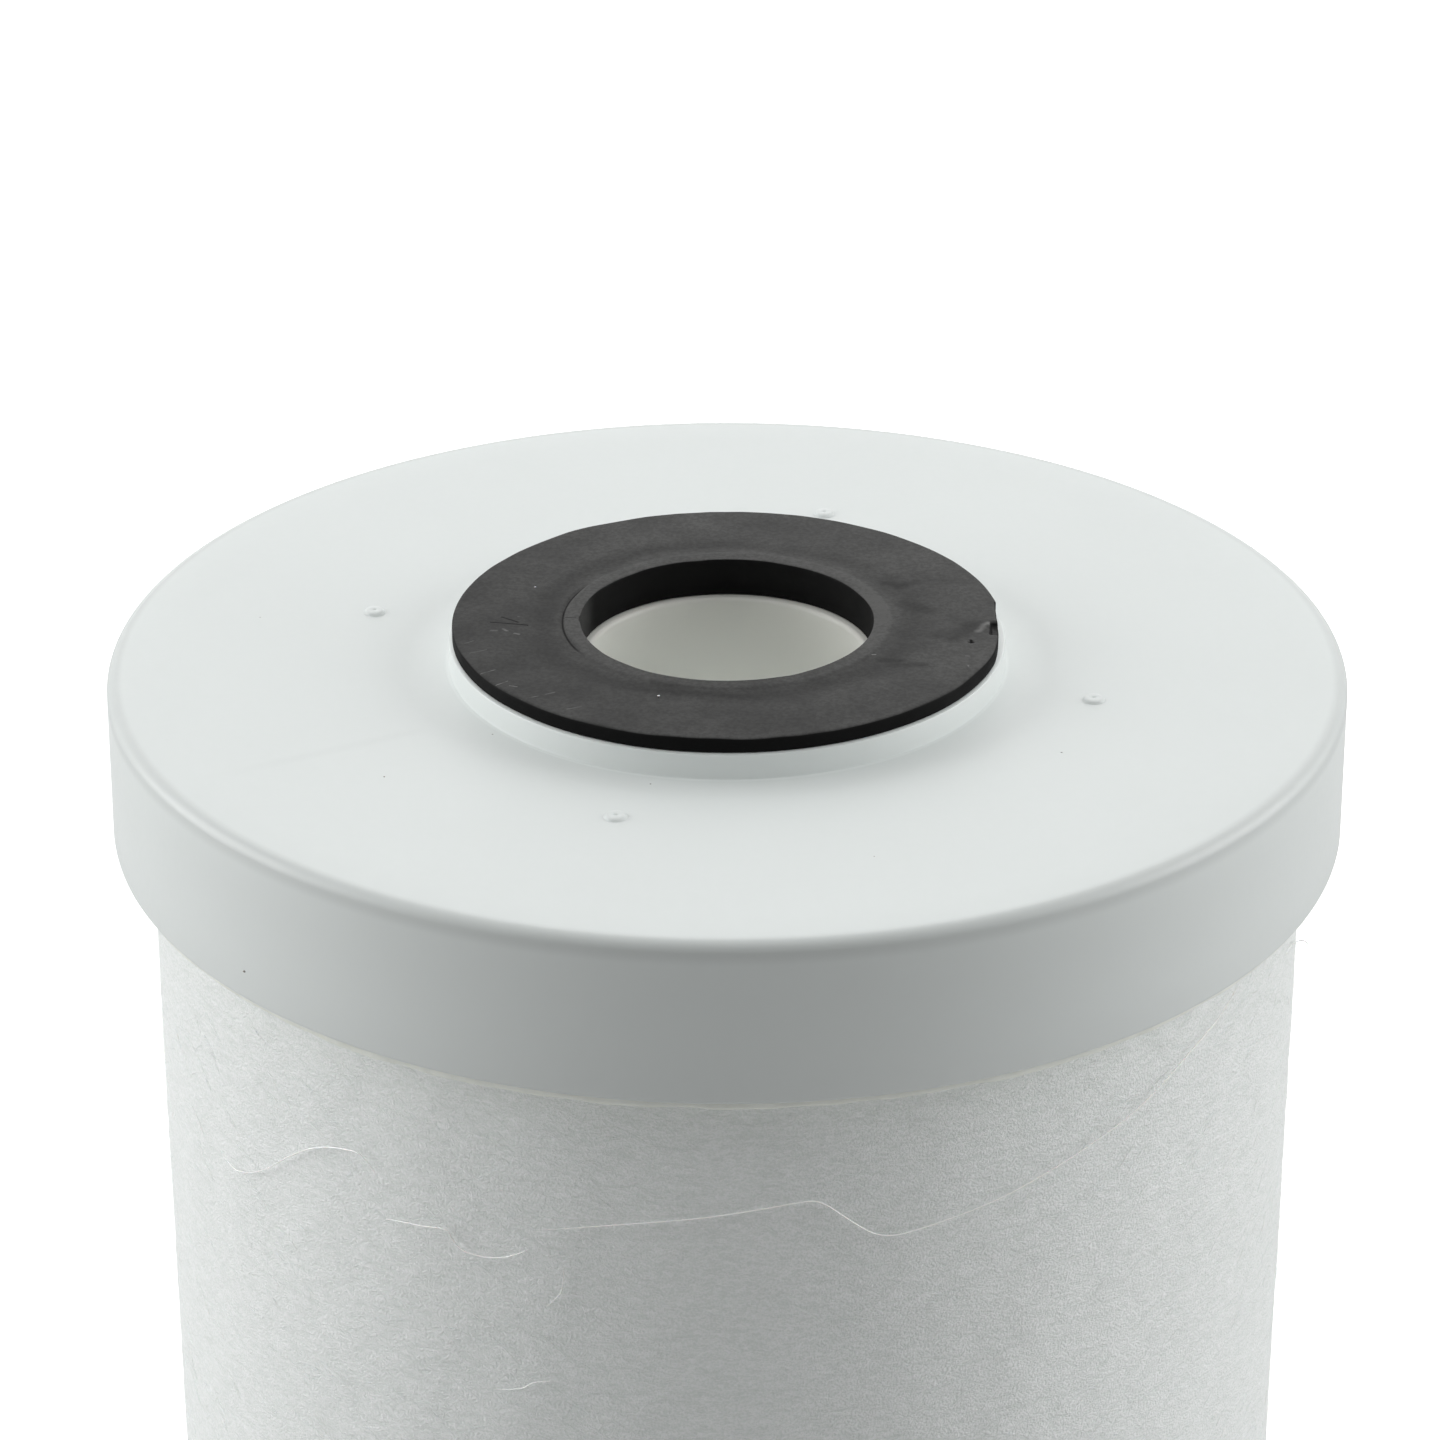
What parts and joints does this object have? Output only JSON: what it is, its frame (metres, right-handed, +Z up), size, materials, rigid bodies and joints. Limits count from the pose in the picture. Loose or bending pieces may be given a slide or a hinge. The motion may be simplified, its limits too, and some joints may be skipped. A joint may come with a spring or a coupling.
{
  "type": "whole house filter cartridge",
  "caption": "Round upright radial-flow water filter cartridge: felt-wrapped body between white moulded end caps, each with a black flanged rubber gasket round an open bore.",
  "frame": {"origin": "on the axis, at the lower gasket's face, which the cartridge stands on", "axes": "+Z up along the axis, from the lower gasket to the upper one; the felt's lap is on the +Y side, at the back"},
  "size_m": [0.1146, 0.1146, 0.248],
  "materials": {
    "cap_plastic": "satin moulded polypropylene",
    "gasket_rubber": "matt moulded rubber with dust and scuffs",
    "wrap_felt": "white needled polypropylene felt",
    "hot_melt": "cloudy hot-melt glue",
    "porous_plastic": "sintered granular plastic",
    "carbon": "granular activated carbon",
    "foam": "open-cell foam",
    "core_plastic": "moulded polypropylene"
  },
  "bodies": {
    "root": {"top_end_cap": "cap_plastic", "bottom_end_cap": "cap_plastic", "top_gasket": "gasket_rubber", "bottom_gasket": "gasket_rubber", "outer_wrap": "wrap_felt", "porous_shell": "porous_plastic", "carbon_bed": "carbon", "inner_felt_sleeve": "wrap_felt", "core_tube": "core_plastic", "top_outer_bond": "hot_melt", "bottom_outer_bond": "hot_melt", "top_inner_bond": "hot_melt", "bottom_inner_bond": "hot_melt", "top_bed_pad": "foam", "bottom_bed_pad": "foam"}
  },
  "joints": []
}
